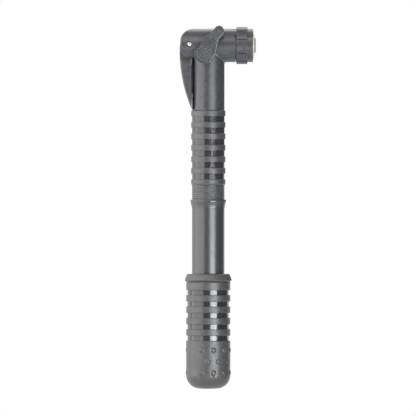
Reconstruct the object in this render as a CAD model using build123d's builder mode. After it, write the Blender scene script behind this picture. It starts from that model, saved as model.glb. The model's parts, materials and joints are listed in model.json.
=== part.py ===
"""Bicycle mini pump with a thumb-lock head, a selector paddle and a sliding handle.

Frame: +Z runs along the barrel towards the head, +X is the way the nozzle points,
-Y is the side of the selector paddle. The origin is on the barrel's axis, in the
middle of the smooth length of tube that a frame clip holds. Millimetres.
"""

from build123d import *
from math import cos, radians, sin
import os

os.makedirs("parts", exist_ok=True)

# ---------------------------------------------------------------- driving dimensions
RUN = 0.06  # radial clearance of a shaft that turns or slides in its hole

# barrel
CLIP_HALF = 22.4  # half the length of the smooth tube between collar and handle
TUBE_R = 11.0
SEAT_R = 10.0  # turned-down upper length that carries the collar, sleeve and head
BORE_R = 9.0
TUBE_TOP = 104.0
TUBE_BOTTOM = -87.0

# upper grip
COLLAR_TOP = 28.0
CUFF_TOP = 37.3
NECK_BOTTOM = 88.7
GROOVE_R = 11.05
BAND_R = 11.65
BAND_H = 3.9
BAND_PITCH = 7.8
BAND_COUNT = 7
TOP_BAND_Z = 86.75  # middle of the highest band
COLLAR_R = 12.1

# head
NECK_R = 11.0
NECK_FLAT_X = -9.5
SEAM = 0.25  # chamfer that shows as a line where the neck meets the sleeve
HEAD_Z = 132.9
HEAD_R = 11.35
HEAD_LEFT = -19.0
HEAD_RIGHT = 18.3
ROUND_LEFT = -11.5  # hidden end of the nozzle's round barrel, inside the ears
EAR_BOTTOM = 124.4
CROSS_R = 5.0  # bore that the plunger slides in
GLAND_BORE_R = 6.5
GLAND_BORE_X = 14.0
SPIGOT_R = 9.6
SPIGOT_END = 24.5
SLOT_HALF = 5.0  # half the width of the slot between the ears
SLOT_END = -8.0
CAM_ROOM_R = 8.4  # the slot's round inner end, about the lever's pivot
ROOF_EDGE_X = -14.5  # the slot is open upwards to the left of here
EAR_RIGHT = -8.0  # the ears' block meets the nozzle's round barrel here

# lock lever
PIVOT_X, PIVOT_Z = -12.85, 133.6
PIN_R = 1.75
LEVER_HUB_HALF = 4.7
LEVER_HALF = 6.5
CAM_R = 5.2
LOCK_TRAVEL = 2.4  # the plunger's travel over a quarter turn of the lever

# selector
SEL_X, SEL_Z = -2.4, 127.6
SPINDLE_R = 3.0
SPINDLE_END = -5.2
PORT_AT = (0.5, 128.6)  # x and z of the port from the spindle's end to the plunger bore
PORT_R = 0.7
BOSS_Y = -11.5
PADDLE_BACK = -11.75
PADDLE_FRONT = -14.6
DISC_R = 7.5
ARM_ANGLE = 52  # the paddle's arm above +X
BAR_H = 0.9

# chuck
CAP_LEFT, CAP_RIGHT = 18.45, 30.4
CAP_R = 11.3
PAD_R = 12.7
LIP_R = 5.1
LIP_END = 32.2
VALVE_R = 4.0

# rod and piston
ROD_R = 3.5
ROD_BORE_R = 2.0
PISTON_TOP = 98.0
PISTON_BOTTOM = 86.0

# handle
HANDLE_TOP = -22.4
HANDLE_BOTTOM = -100.6
HANDLE_R = 15.0
CORE_R = 14.0
CORE_BORE_R = 11.35
CORE_FLOOR = -91.0
CORE_BOTTOM = -98.6
LIP_FLARE_R = 15.95
HGROOVE_TOP = -33.5  # top of the highest glossy groove
HGROOVE_H = 3.3
HGROOVE_PITCH = 7.74
HGROOVE_COUNT = 5
NUB_R = 1.6
NUB_HEIGHT = 0.4
GRIP_TOP = HGROOVE_TOP - (HGROOVE_COUNT - 1) * HGROOVE_PITCH - HGROOVE_H


def nozzle_plane(x):
    """Plane across the nozzle's axis at x, facing +X."""
    return Plane(origin=(x, 0, HEAD_Z), x_dir=(0, 1, 0), z_dir=(1, 0, 0))


def selector_plane(y):
    """Plane across the selector's axis at y, facing -Y."""
    return Plane(origin=(SEL_X, y, SEL_Z), x_dir=(1, 0, 0), z_dir=(0, -1, 0))


NOZZLE_AXIS = Axis((0, 0, HEAD_Z), (1, 0, 0))
SELECTOR_AXIS = Axis((SEL_X, 0, SEL_Z), (0, -1, 0))

# ================================================================ head
ROOF_Z = HEAD_Z + HEAD_R - 0.05
EDGE_TOP_R = 8.8  # rounded upper corner of the ears
EDGE_LOW_R = 5.4  # rounded lower corner of the ears
EAR_EDGE_R = 0.9  # softened edges along the ears' outline
JUNCTION_R = 1.5  # fillet where the neck runs into the nozzle's barrel
FLAT_LOW_Z = 96.3  # where the neck's flat runs out into the full circle
FLAT_HIGH_Z = 103.5
FIN_X, FIN_STEP_X = -13.0, -11.6
FIN_TOP_Z, FIN_LOW_Z = 119.8, 100.5
FIN_HALF = 1.4
PASSAGE_Y = -6.3
PASSAGE_R = 1.0
CHAMBER_R = 7.2
CHAMBER_LOW, CHAMBER_HIGH = 108.0, 118.0
BUSH_R = 4.4
BUSH_DEPTH = 2.6
BOSS_BACK = -5.0
RECESS_R = 2.35  # shallow recess round each end of the lever's pin
RECESS_Y = 10.6

with BuildPart() as ears:
    # block of the two ears, trimmed to its rounded side outline
    with BuildSketch(nozzle_plane(HEAD_LEFT)):
        Circle(HEAD_R)
    extrude(amount=EAR_RIGHT - HEAD_LEFT)
    with BuildSketch(Plane.XZ) as ear_side:
        Polygon(
            (EAR_RIGHT, ROOF_Z),
            (HEAD_LEFT, ROOF_Z),
            (HEAD_LEFT, EAR_BOTTOM),
            (EAR_RIGHT, EAR_BOTTOM),
            align=None,
        )
        fillet(ear_side.vertices().group_by(Axis.X)[0].sort_by(Axis.Y)[-1], EDGE_TOP_R)
        fillet(ear_side.vertices().group_by(Axis.X)[0].sort_by(Axis.Y)[0], EDGE_LOW_R)
    extrude(amount=HEAD_R + 1, both=True, mode=Mode.INTERSECT)
    outline = ears.edges().filter_by(
        lambda e: abs(e.center().Y) > EAR_EDGE_R and e.center().X < EAR_RIGHT - 0.1
    )
    fillet(outline, EAR_EDGE_R)

with BuildPart() as head_body:
    # round barrel of the nozzle, and the neck blended into it
    with BuildSketch(nozzle_plane(ROUND_LEFT)):
        Circle(HEAD_R)
    extrude(amount=HEAD_RIGHT - ROUND_LEFT)
    with BuildSketch(Plane.XY.offset(NECK_BOTTOM)):
        Circle(NECK_R)
    extrude(amount=HEAD_Z - NECK_BOTTOM)
    fillet(head_body.edges().filter_by(GeomType.BSPLINE), JUNCTION_R)
    chamfer(head_body.edges().group_by(Axis.Z)[0], SEAM)
    nozzle_shoulder = head_body.faces().sort_by(Axis.X)[-1]
    fillet(nozzle_shoulder.edges(), 0.3)
    add(ears.part)
    # thread spigot
    with BuildSketch(nozzle_plane(HEAD_RIGHT)):
        Circle(SPIGOT_R)
    extrude(amount=SPIGOT_END - HEAD_RIGHT)
    # flat on the lever's side of the neck
    with BuildSketch(Plane.XZ):
        with BuildLine():
            scoop = Spline(
                (-NECK_R - 0.1, FLAT_LOW_Z),
                (NECK_FLAT_X, FLAT_HIGH_Z),
                tangents=((0.3, 1), (0, 1)),
            )
            Polyline(
                scoop @ 1,
                (NECK_FLAT_X, EAR_BOTTOM),
                (-NECK_R - 0.1, EAR_BOTTOM),
                scoop @ 0,
            )
        make_face()
    extrude(amount=NECK_R, both=True, mode=Mode.SUBTRACT)
    # fin that stands in the lever's hollow
    with BuildSketch(Plane.XZ):
        Polygon(
            (NECK_FLAT_X + 1, EAR_BOTTOM + 1),
            (FIN_STEP_X, EAR_BOTTOM + 1),
            (FIN_STEP_X, FIN_TOP_Z),
            (FIN_X, FIN_TOP_Z),
            (FIN_X, FIN_LOW_Z),
            (NECK_FLAT_X + 1, FIN_LOW_Z - 3),
            align=None,
        )
    extrude(amount=FIN_HALF, both=True)
    # boss under the paddle
    with BuildSketch(selector_plane(BOSS_BACK)):
        Circle(DISC_R - 0.4)
    extrude(amount=BOSS_BACK - BOSS_Y)
    # slot between the ears, round where the cam swings, roofed above it
    with BuildSketch(Plane.XZ):
        with Locations((ROOF_EDGE_X, EAR_BOTTOM)):
            Rectangle(ROOF_EDGE_X - HEAD_LEFT + 3, 2 * HEAD_R, align=(Align.MAX, Align.MIN))
        with Locations((SLOT_END, EAR_BOTTOM)):
            Rectangle(SLOT_END - ROOF_EDGE_X, PIVOT_Z - EAR_BOTTOM, align=(Align.MAX, Align.MIN))
        with Locations((PIVOT_X, PIVOT_Z)):
            Circle(CAM_ROOM_R)
    extrude(amount=SLOT_HALF, both=True, mode=Mode.SUBTRACT)
    # pivot hole and the recesses round its ends
    with BuildSketch(Plane.XZ):
        with Locations((PIVOT_X, PIVOT_Z)):
            Circle(PIN_R)
    extrude(amount=HEAD_R + 1, both=True, mode=Mode.SUBTRACT)
    for side in (-1, 1):
        with BuildSketch(Plane.XZ.offset(side * RECESS_Y)):
            with Locations((PIVOT_X, PIVOT_Z)):
                Circle(RECESS_R)
        extrude(amount=side * 2, mode=Mode.SUBTRACT)
    # plunger bore and gland chamber
    with BuildSketch(nozzle_plane(SLOT_END - 1)):
        Circle(CROSS_R)
    extrude(amount=GLAND_BORE_X - SLOT_END + 1, mode=Mode.SUBTRACT)
    with BuildSketch(nozzle_plane(GLAND_BORE_X)):
        Circle(GLAND_BORE_R)
    extrude(amount=SPIGOT_END - GLAND_BORE_X + 1, mode=Mode.SUBTRACT)
    # barrel socket, valve chamber and the passage up to the spindle
    with BuildSketch(Plane.XY.offset(NECK_BOTTOM)):
        Circle(SEAT_R)
    extrude(amount=CHAMBER_LOW - NECK_BOTTOM, mode=Mode.SUBTRACT)
    with BuildSketch(Plane.XY.offset(CHAMBER_LOW)):
        Circle(CHAMBER_R)
    extrude(amount=CHAMBER_HIGH - CHAMBER_LOW, mode=Mode.SUBTRACT)
    with BuildSketch(Plane.XY.offset(CHAMBER_HIGH - 2)):
        with Locations((SEL_X, PASSAGE_Y)):
            Circle(PASSAGE_R)
    extrude(amount=SEL_Z - CHAMBER_HIGH + 2, mode=Mode.SUBTRACT)
    # spindle bore, its port into the plunger bore, and the bush's counterbore
    with BuildSketch(selector_plane(SPINDLE_END + 0.5)):
        Circle(SPINDLE_R + RUN)
    extrude(amount=HEAD_R, mode=Mode.SUBTRACT)
    with BuildSketch(Plane.XZ.offset(-SPINDLE_END)):
        with Locations(PORT_AT):
            Circle(PORT_R)
    extrude(amount=-3.2, mode=Mode.SUBTRACT)
    with BuildSketch(selector_plane(BOSS_Y + BUSH_DEPTH)):
        Circle(BUSH_R)
    extrude(amount=BUSH_DEPTH + 1, mode=Mode.SUBTRACT)
head_body.part.label = "head_body"
export_step(head_body.part, "parts/head_body.step")

PIN_HALF = 10.9

with BuildPart() as lever_pin:
    with BuildSketch(Plane.XZ.offset(-PIN_HALF)):
        with Locations((PIVOT_X, PIVOT_Z)):
            Circle(PIN_R)
    extrude(amount=2 * PIN_HALF)
    chamfer(lever_pin.edges().filter_by(GeomType.CIRCLE), 0.2)
    for side in (-1, 1):
        with BuildSketch(Plane.XZ.offset(side * PIN_HALF)):
            with Locations((PIVOT_X, PIVOT_Z)):
                Circle(0.35)
        extrude(amount=-side * 0.6, mode=Mode.SUBTRACT)
lever_pin.part.label = "lever_pin"
export_step(lever_pin.part, "parts/lever_pin.step")

# ================================================================ lock lever
LEVER_TIP = (-11.2, 89.4)
ARM_TOP_Z = 122.6  # the arm is as wide as the thumb pad below here
ARM_INNER_X = -11.7


def cam_point(angle):
    """Point of the cam at an angle from +X towards +Z: its radius grows evenly."""
    r = CAM_R + LOCK_TRAVEL * angle / 90
    return (PIVOT_X + r * cos(radians(angle)), PIVOT_Z + r * sin(radians(angle)))


with BuildPart() as lock_lever:
    # hub and cam between the ears
    with BuildSketch(Plane.XZ):
        with BuildLine():
            cam = Spline(*[cam_point(a) for a in (0, 35, 70, 100)])
            back = Spline(cam @ 1, (-16.2, 139.4), (-18.6, 135.4), (-19.4, 130.0))
            ThreePointArc(back @ 1, (-19.0, 119.6), (-17.9, ARM_TOP_Z - 11))
            Polyline(
                (-17.9, ARM_TOP_Z - 11),
                (ARM_INNER_X, ARM_TOP_Z - 11),
                (ARM_INNER_X, 128.0),
                (PIVOT_X + CAM_R, 130.5),
                cam @ 0,
            )
        make_face()
    extrude(amount=LEVER_HUB_HALF, both=True)
    # wide arm, an arc outside and straight inside, to a thin tip
    with BuildSketch(Plane.XZ) as arm:
        with BuildLine():
            outer = ThreePointArc((-19.15, ARM_TOP_Z), (-16.75, 106.0), LEVER_TIP)
            Polyline(
                outer @ 1,
                (ARM_INNER_X + 0.5, 96.0),
                (ARM_INNER_X + 1.2, 98.2),
                (ARM_INNER_X + 1.45, 99.4),
                (ARM_INNER_X, 101.4),
                (ARM_INNER_X, ARM_TOP_Z),
                (-19.15, ARM_TOP_Z),
            )
        make_face()
    extrude(amount=LEVER_HALF, both=True)
    crest = lock_lever.edges().filter_by(lambda e: abs(abs(e.center().Y) - LEVER_HALF) < 0.01)
    outer_edges = crest.filter_by(GeomType.CIRCLE)
    fillet(outer_edges, 1.4)
    # hollow inside of the arm
    with BuildSketch(Plane.XZ):
        with BuildLine():
            hollow = ThreePointArc((-17.3, 120.6), (-15.1, 107.5), (-12.9, 98.5))
            Polyline(
                hollow @ 1,
                (ARM_INNER_X + 1.8, 98.5),
                (ARM_INNER_X + 1.8, 120.6),
                (-17.3, 120.6),
            )
        make_face()
    extrude(amount=LEVER_HALF - 1.7, both=True, mode=Mode.SUBTRACT)
    with BuildSketch(Plane.XZ):
        with Locations((PIVOT_X, PIVOT_Z)):
            Circle(PIN_R + RUN)
    extrude(amount=LEVER_HALF + 1, both=True, mode=Mode.SUBTRACT)
lock_lever.part.label = "lock_lever"
export_step(lock_lever.part, "parts/lock_lever.step")

# ================================================================ plunger
PLUNGER_R = CROSS_R - RUN
PLUNGER_TAIL = -7.2
PLUNGER_HEAD_X = 14.4
PLUNGER_FACE = 16.5
AIR_R = 2.2
RING_TUBE = 0.9
RING_XS = (-3.4, 11.6)  # the two seals
WAIST_X = -2.3
WAIST_LENGTH = 11.7

with BuildPart() as plunger:
    with BuildSketch(nozzle_plane(PLUNGER_TAIL)):
        Circle(PLUNGER_R)
    extrude(amount=PLUNGER_HEAD_X - PLUNGER_TAIL)
    with BuildSketch(nozzle_plane(PLUNGER_HEAD_X)):
        Circle(GLAND_BORE_R - 0.1)
    extrude(amount=PLUNGER_FACE - PLUNGER_HEAD_X)
    # waist that air reaches in every position, seal grooves
    with BuildSketch(nozzle_plane(WAIST_X)):
        Circle(PLUNGER_R + 1)
        Circle(3.6, mode=Mode.SUBTRACT)
    extrude(amount=WAIST_LENGTH, mode=Mode.SUBTRACT)
    for x in RING_XS:
        with BuildSketch(nozzle_plane(x - RING_TUBE - 0.1)):
            Circle(PLUNGER_R + 1)
            Circle(PLUNGER_R - 2 * RING_TUBE, mode=Mode.SUBTRACT)
        extrude(amount=2 * RING_TUBE + 0.2, mode=Mode.SUBTRACT)
    # air bore and its cross holes
    with BuildSketch(nozzle_plane(0)):
        Circle(AIR_R)
    extrude(amount=PLUNGER_FACE, mode=Mode.SUBTRACT)
    with BuildSketch(Plane.XY.offset(HEAD_Z)):
        with Locations((2.5, 0)):
            Circle(1.1)
    extrude(amount=PLUNGER_R, both=True, mode=Mode.SUBTRACT)
plunger.part.label = "plunger"
export_step(plunger.part, "parts/plunger.step")

with BuildPart() as plunger_o_rings:
    for x in RING_XS:
        with BuildSketch(Plane(origin=(x, 0, HEAD_Z), x_dir=(1, 0, 0), z_dir=(0, -1, 0))):
            with Locations((0, PLUNGER_R - RING_TUBE)):
                Circle(RING_TUBE - 0.02)
        revolve(axis=NOZZLE_AXIS)
plunger_o_rings.part.label = "plunger_o_rings"
export_step(plunger_o_rings.part, "parts/plunger_o_rings.step")

PIN_FOOT_X = 6.0
PIN_TIP_X = 18.4

with BuildPart() as valve_pin:
    with BuildSketch(nozzle_plane(PIN_FOOT_X)):
        Circle(AIR_R)
        with PolarLocations(AIR_R, 3):
            Circle(0.8, mode=Mode.SUBTRACT)
    extrude(amount=2.5)
    with BuildSketch(nozzle_plane(PIN_FOOT_X)):
        Circle(0.9)
    extrude(amount=PIN_TIP_X - PIN_FOOT_X)
    fillet(valve_pin.faces().sort_by(Axis.X)[-1].edges(), 0.4)
valve_pin.part.label = "valve_pin"
export_step(valve_pin.part, "parts/valve_pin.step")

# ================================================================ chuck
GLAND_BACK = 16.7
GLAND_STEP_X = 20.5  # the valve stem seats against this step
GLAND_SHOULDER = 28.9
FACE_RING_R = 10.4
CAP_RECESS = 0.6

with BuildPart() as valve_gland:
    with BuildSketch(nozzle_plane(GLAND_BACK)):
        Circle(GLAND_BORE_R - 0.1)
    extrude(amount=GLAND_SHOULDER - GLAND_BACK)
    with BuildSketch(nozzle_plane(GLAND_SHOULDER)):
        Circle(LIP_R)
    extrude(amount=LIP_END - GLAND_SHOULDER)
    fillet(valve_gland.faces().sort_by(Axis.X)[-1].edges(), 0.5)
    with BuildSketch(nozzle_plane(GLAND_BACK)):
        Circle(2.6)
    extrude(amount=GLAND_STEP_X - GLAND_BACK, mode=Mode.SUBTRACT)
    with BuildSketch(nozzle_plane(GLAND_STEP_X)):
        Circle(VALVE_R)
    extrude(amount=LIP_END - GLAND_STEP_X + 1, mode=Mode.SUBTRACT)
valve_gland.part.label = "valve_gland"
export_step(valve_gland.part, "parts/valve_gland.step")

PAD_COUNT = 10
PAD_WIDTH = 4.6
PAD_PHASE = 31  # angle of one pad from +Y towards +Z, about the nozzle
PAD_END = 26.7

with BuildPart() as chuck_cap:
    with BuildSketch(nozzle_plane(CAP_LEFT)):
        Circle(CAP_R)
    extrude(amount=CAP_RIGHT - CAP_LEFT)
    fillet(chuck_cap.faces().sort_by(Axis.X)[-1].edges(), 0.5)
    # grip pads
    with BuildSketch(nozzle_plane(CAP_LEFT + 0.4)) as pads:
        with PolarLocations(CAP_R, PAD_COUNT, start_angle=PAD_PHASE):
            Rectangle(4.0, PAD_WIDTH)
        Circle(PAD_R, mode=Mode.INTERSECT)
    extrude(amount=PAD_END - CAP_LEFT - 0.4)
    pad_rims = chuck_cap.edges().filter_by(GeomType.CIRCLE).filter_by(
        lambda e: abs(e.radius - PAD_R) < 0.01
    )
    chamfer(pad_rims.filter_by(lambda e: e.center().X < PAD_END - 1), 1.1)
    fillet(pad_rims.filter_by(lambda e: e.center().X > PAD_END - 1), 0.3)
    # thread bore, gland bore, lip hole and the face ring's recess
    with BuildSketch(nozzle_plane(CAP_LEFT)):
        Circle(SPIGOT_R + 0.1)
    extrude(amount=6.2, mode=Mode.SUBTRACT)
    with BuildSketch(nozzle_plane(CAP_LEFT)):
        Circle(GLAND_BORE_R)
    extrude(amount=GLAND_SHOULDER + 0.1 - CAP_LEFT, mode=Mode.SUBTRACT)
    with BuildSketch(nozzle_plane(CAP_LEFT)):
        Circle(LIP_R + 0.1)
    extrude(amount=CAP_RIGHT - CAP_LEFT, mode=Mode.SUBTRACT)
    with BuildSketch(nozzle_plane(CAP_RIGHT - CAP_RECESS)):
        Circle(FACE_RING_R)
    extrude(amount=CAP_RECESS + 1, mode=Mode.SUBTRACT)
chuck_cap.part.label = "chuck_cap"
export_step(chuck_cap.part, "parts/chuck_cap.step")

with BuildPart() as chuck_face_ring:
    with BuildSketch(Plane(origin=(0, 0, HEAD_Z), x_dir=(1, 0, 0), z_dir=(0, -1, 0))):
        with BuildLine():
            Polyline(
                (CAP_RIGHT - CAP_RECESS, FACE_RING_R),
                (CAP_RIGHT - CAP_RECESS, LIP_R + 0.1),
                (CAP_RIGHT + 1.0, LIP_R + 0.1),
            )
            Spline(
                (CAP_RIGHT + 1.0, LIP_R + 0.1),
                (CAP_RIGHT + 0.65, 8.0),
                (CAP_RIGHT, FACE_RING_R),
            )
            Line((CAP_RIGHT, FACE_RING_R), (CAP_RIGHT - CAP_RECESS, FACE_RING_R))
        make_face()
    revolve(axis=NOZZLE_AXIS)
chuck_face_ring.part.label = "chuck_face_ring"
export_step(chuck_face_ring.part, "parts/chuck_face_ring.step")

# ================================================================ selector
FLANGE_R = 3.9
FLANGE_BACK = -9.0
FLANGE_FRONT = -9.8
SQUARE = 3.6
SQUARE_FRONT = -13.6
SEAL_Y = -7.9
SEAL_TUBE = 0.4

with BuildPart() as selector_spindle:
    with BuildSketch(selector_plane(SPINDLE_END)):
        Circle(SPINDLE_R)
    extrude(amount=SPINDLE_END - PADDLE_BACK)
    with BuildSketch(selector_plane(FLANGE_BACK)):
        Circle(FLANGE_R)
    extrude(amount=FLANGE_BACK - FLANGE_FRONT)
    with BuildSketch(selector_plane(PADDLE_BACK)):
        Rectangle(SQUARE, SQUARE)
    extrude(amount=PADDLE_BACK - SQUARE_FRONT)
    # seal groove, air bore from the inner end and its port
    with BuildSketch(selector_plane(SEAL_Y + SEAL_TUBE + 0.05)):
        Circle(SPINDLE_R + 1)
        Circle(SPINDLE_R - 2 * SEAL_TUBE, mode=Mode.SUBTRACT)
    extrude(amount=2 * SEAL_TUBE + 0.1, mode=Mode.SUBTRACT)
    with BuildSketch(selector_plane(SPINDLE_END)):
        Circle(1.2)
    extrude(amount=1.8, mode=Mode.SUBTRACT)
    with BuildSketch(Plane.XY.offset(SEL_Z - SPINDLE_R - 0.1)):
        with Locations((SEL_X, PASSAGE_Y)):
            Circle(0.7)
    extrude(amount=SPINDLE_R, mode=Mode.SUBTRACT)
selector_spindle.part.label = "selector_spindle"
export_step(selector_spindle.part, "parts/selector_spindle.step")

with BuildPart() as selector_o_ring:
    with BuildSketch(Plane(origin=(SEL_X, 0, SEL_Z), x_dir=(1, 0, 0), z_dir=(0, 0, 1))):
        with Locations((SPINDLE_R - SEAL_TUBE, SEAL_Y)):
            Circle(SEAL_TUBE - 0.01)
    revolve(axis=SELECTOR_AXIS)
selector_o_ring.part.label = "selector_o_ring"
export_step(selector_o_ring.part, "parts/selector_o_ring.step")

with BuildPart() as selector_bush:
    with BuildSketch(selector_plane(FLANGE_FRONT - 0.1)):
        Circle(BUSH_R)
        Circle(SPINDLE_R + RUN, mode=Mode.SUBTRACT)
    extrude(amount=FLANGE_FRONT - 0.1 - BOSS_Y)
selector_bush.part.label = "selector_bush"
export_step(selector_bush.part, "parts/selector_bush.step")

with BuildPart() as selector_lever:
    with BuildSketch(Plane.XZ.offset(-PADDLE_BACK)) as paddle:
        with BuildLine():
            wing = Line((-0.7, 139.6), (-9.7, 128.2))
            heel = ThreePointArc(wing @ 1, (-5.5, 121.3), (1.3, 121.0))
            cheek = Line(heel @ 1, (4.9, 127.2))
            side = Spline(cheek @ 1, (5.9, 131.2), (7.4, 136.4), (10.0, 140.2), (10.8, 142.6))
            end = Spline(side @ 1, (9.9, 144.9), (7.7, 146.3), (5.3, 145.6))
            arm_left = Line(end @ 1, (2.4, 142.0))
            Spline(arm_left @ 1, (0.7, 140.3), wing @ 0)
        make_face()
    extrude(amount=PADDLE_BACK - PADDLE_FRONT)
    fillet(selector_lever.faces().sort_by(Axis.Y)[0].edges(), 0.5)
    # raised thumb bar along the arm
    with BuildSketch(Plane.XZ.offset(-PADDLE_FRONT)):
        with Locations(Location((6.0, 139.9), ARM_ANGLE)):
            SlotOverall(11.6, 6.0)
    extrude(amount=BAR_H)
    fillet(selector_lever.faces().sort_by(Axis.Y)[0].edges(), 0.6)
    # grip ribs beside the bar, and an index pip
    with BuildSketch(Plane.XZ.offset(-PADDLE_FRONT)):
        for row in range(4):
            with Locations((2.6 + 0.3 * row, 133.8 + 1.9 * row)):
                SlotOverall(4.2 - 0.3 * row, 0.8)
        with Locations((-0.9, 136.3)):
            Circle(0.6)
    extrude(amount=0.45)
    # dotted grip panel
    with BuildSketch(Plane.XZ.offset(-PADDLE_FRONT)):
        with Locations((SEL_X + 0.3, SEL_Z + 0.6)):
            with GridLocations(1.9, 1.9, 6, 3):
                Circle(0.5)
    extrude(amount=0.25)
    # square socket for the spindle
    with BuildSketch(selector_plane(PADDLE_BACK)):
        Rectangle(SQUARE, SQUARE)
    extrude(amount=PADDLE_BACK - SQUARE_FRONT, mode=Mode.SUBTRACT)
selector_lever.part.label = "selector_lever"
export_step(selector_lever.part, "parts/selector_lever.step")

# ================================================================ barrel
with BuildPart() as barrel_tube:
    with BuildSketch(Plane.XY.offset(TUBE_BOTTOM)):
        Circle(TUBE_R)
    extrude(amount=CLIP_HALF - TUBE_BOTTOM)
    with BuildSketch(Plane.XY.offset(CLIP_HALF)):
        Circle(SEAT_R)
    extrude(amount=TUBE_TOP - CLIP_HALF)
    with BuildSketch(Plane.XY.offset(TUBE_BOTTOM)):
        Circle(BORE_R)
    extrude(amount=TUBE_TOP - TUBE_BOTTOM, mode=Mode.SUBTRACT)
barrel_tube.part.label = "barrel_tube"
export_step(barrel_tube.part, "parts/barrel_tube.step")

SEAL_H = 1.2
SEAT_HOLE_R = 1.6

with BuildPart() as barrel_seal:
    with BuildSketch(Plane.XY.offset(TUBE_TOP)):
        Circle(SEAT_R)
        Circle(BORE_R, mode=Mode.SUBTRACT)
    extrude(amount=SEAL_H)
barrel_seal.part.label = "barrel_seal"
export_step(barrel_seal.part, "parts/barrel_seal.step")

with BuildPart() as check_valve_seat:
    with BuildSketch(Plane.XY.offset(TUBE_TOP + SEAL_H)):
        Circle(SEAT_R)
        Circle(SEAT_HOLE_R, mode=Mode.SUBTRACT)
    extrude(amount=CHAMBER_LOW - TUBE_TOP - SEAL_H)
check_valve_seat.part.label = "check_valve_seat"
export_step(check_valve_seat.part, "parts/check_valve_seat.step")

CHECK_DISC_R = 4.2
CHECK_DISC_H = 1.4
SPRING_R = 2.6
SPRING_WIRE_R = 0.3
SPRING_LOW = CHAMBER_LOW + CHECK_DISC_H + SPRING_WIRE_R + 0.05
SPRING_HIGH = CHAMBER_HIGH - SPRING_WIRE_R - 0.02

with BuildPart() as check_valve_disc:
    with BuildSketch(Plane.XY.offset(CHAMBER_LOW)):
        Circle(CHECK_DISC_R)
    extrude(amount=CHECK_DISC_H)
check_valve_disc.part.label = "check_valve_disc"
export_step(check_valve_disc.part, "parts/check_valve_disc.step")

with BuildPart() as check_valve_spring:
    with BuildLine() as coil:
        Helix(pitch=(SPRING_HIGH - SPRING_LOW) / 4, height=SPRING_HIGH - SPRING_LOW,
              radius=SPRING_R, center=(0, 0, SPRING_LOW))
    with BuildSketch(Plane(origin=coil.line @ 0, z_dir=coil.line % 0)):
        Circle(SPRING_WIRE_R)
    sweep()
check_valve_spring.part.label = "check_valve_spring"
export_step(check_valve_spring.part, "parts/check_valve_spring.step")

with BuildPart() as grip_sleeve:
    with BuildSketch(Plane.XY.offset(COLLAR_TOP)):
        Circle(GROOVE_R)
        Circle(SEAT_R, mode=Mode.SUBTRACT)
    extrude(amount=NECK_BOTTOM - COLLAR_TOP)
grip_sleeve.part.label = "grip_sleeve"
export_step(grip_sleeve.part, "parts/grip_sleeve.step")

with BuildPart() as grip_bands:
    for i in range(BAND_COUNT):
        with BuildSketch(Plane.XZ) as band:
            with Locations(((GROOVE_R + BAND_R) / 2, TOP_BAND_Z - i * BAND_PITCH)):
                Rectangle(BAND_R - GROOVE_R, BAND_H)
            fillet(band.vertices().group_by(Axis.X)[-1], 0.5)
        revolve(axis=Axis.Z)
grip_bands.part.label = "grip_bands"
export_step(grip_bands.part, "parts/grip_bands.step")

with BuildPart() as barrel_collar:
    with BuildSketch(Plane.XZ):
        with BuildLine():
            Polyline(
                (SEAT_R, COLLAR_TOP),
                (SEAT_R, CLIP_HALF),
                (TUBE_R + 0.15, CLIP_HALF),
                (COLLAR_R - 0.1, COLLAR_TOP - 1.3),
            )
            ThreePointArc(
                (COLLAR_R - 0.1, COLLAR_TOP - 1.3),
                (COLLAR_R, COLLAR_TOP - 0.6),
                (COLLAR_R - 0.5, COLLAR_TOP),
            )
            Line((COLLAR_R - 0.5, COLLAR_TOP), (SEAT_R, COLLAR_TOP))
        make_face()
    revolve(axis=Axis.Z)
barrel_collar.part.label = "barrel_collar"
export_step(barrel_collar.part, "parts/barrel_collar.step")

GUIDE_TOP = TUBE_BOTTOM + 9
GUIDE_BOTTOM = TUBE_BOTTOM - 1.2
WIPER_H = 2.4

with BuildPart() as rod_guide:
    with BuildSketch(Plane.XY.offset(TUBE_BOTTOM)):
        Circle(BORE_R)
    extrude(amount=GUIDE_TOP - TUBE_BOTTOM)
    with BuildSketch(Plane.XY.offset(GUIDE_BOTTOM)):
        Circle(TUBE_R - 0.1)
    extrude(amount=TUBE_BOTTOM - GUIDE_BOTTOM)
    with BuildSketch(Plane.XY.offset(GUIDE_BOTTOM)):
        Circle(ROD_R + RUN)
    extrude(amount=GUIDE_TOP - GUIDE_BOTTOM, mode=Mode.SUBTRACT)
    with BuildSketch(Plane.XY.offset(GUIDE_BOTTOM)):
        Circle(ROD_R + 2)
    extrude(amount=WIPER_H, mode=Mode.SUBTRACT)
rod_guide.part.label = "rod_guide"
export_step(rod_guide.part, "parts/rod_guide.step")

with BuildPart() as rod_wiper:
    with BuildSketch(Plane.XY.offset(GUIDE_BOTTOM)):
        Circle(ROD_R + 2)
        Circle(ROD_R + 0.04, mode=Mode.SUBTRACT)
    extrude(amount=WIPER_H)
rod_wiper.part.label = "rod_wiper"
export_step(rod_wiper.part, "parts/rod_wiper.step")

# ================================================================ rod and piston
PISTON_R = 8.6
PISTON_RING_Z = 93.0
PISTON_RING_TUBE = 1.2
ROD_TOP = 96.0
SHANK_R = 2.8  # reduced end of the rod, inside the handle's end wall
SHANK_BOTTOM = -95.0

with BuildPart() as piston_rod:
    with BuildSketch(Plane.XY.offset(CORE_FLOOR)):
        Circle(ROD_R)
    extrude(amount=ROD_TOP - CORE_FLOOR)
    with BuildSketch(Plane.XY.offset(SHANK_BOTTOM)):
        Circle(SHANK_R)
    extrude(amount=CORE_FLOOR - SHANK_BOTTOM)
    with BuildSketch(Plane.XY.offset(SHANK_BOTTOM)):
        Circle(ROD_BORE_R)
    extrude(amount=ROD_TOP - SHANK_BOTTOM, mode=Mode.SUBTRACT)
piston_rod.part.label = "piston_rod"
export_step(piston_rod.part, "parts/piston_rod.step")

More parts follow.
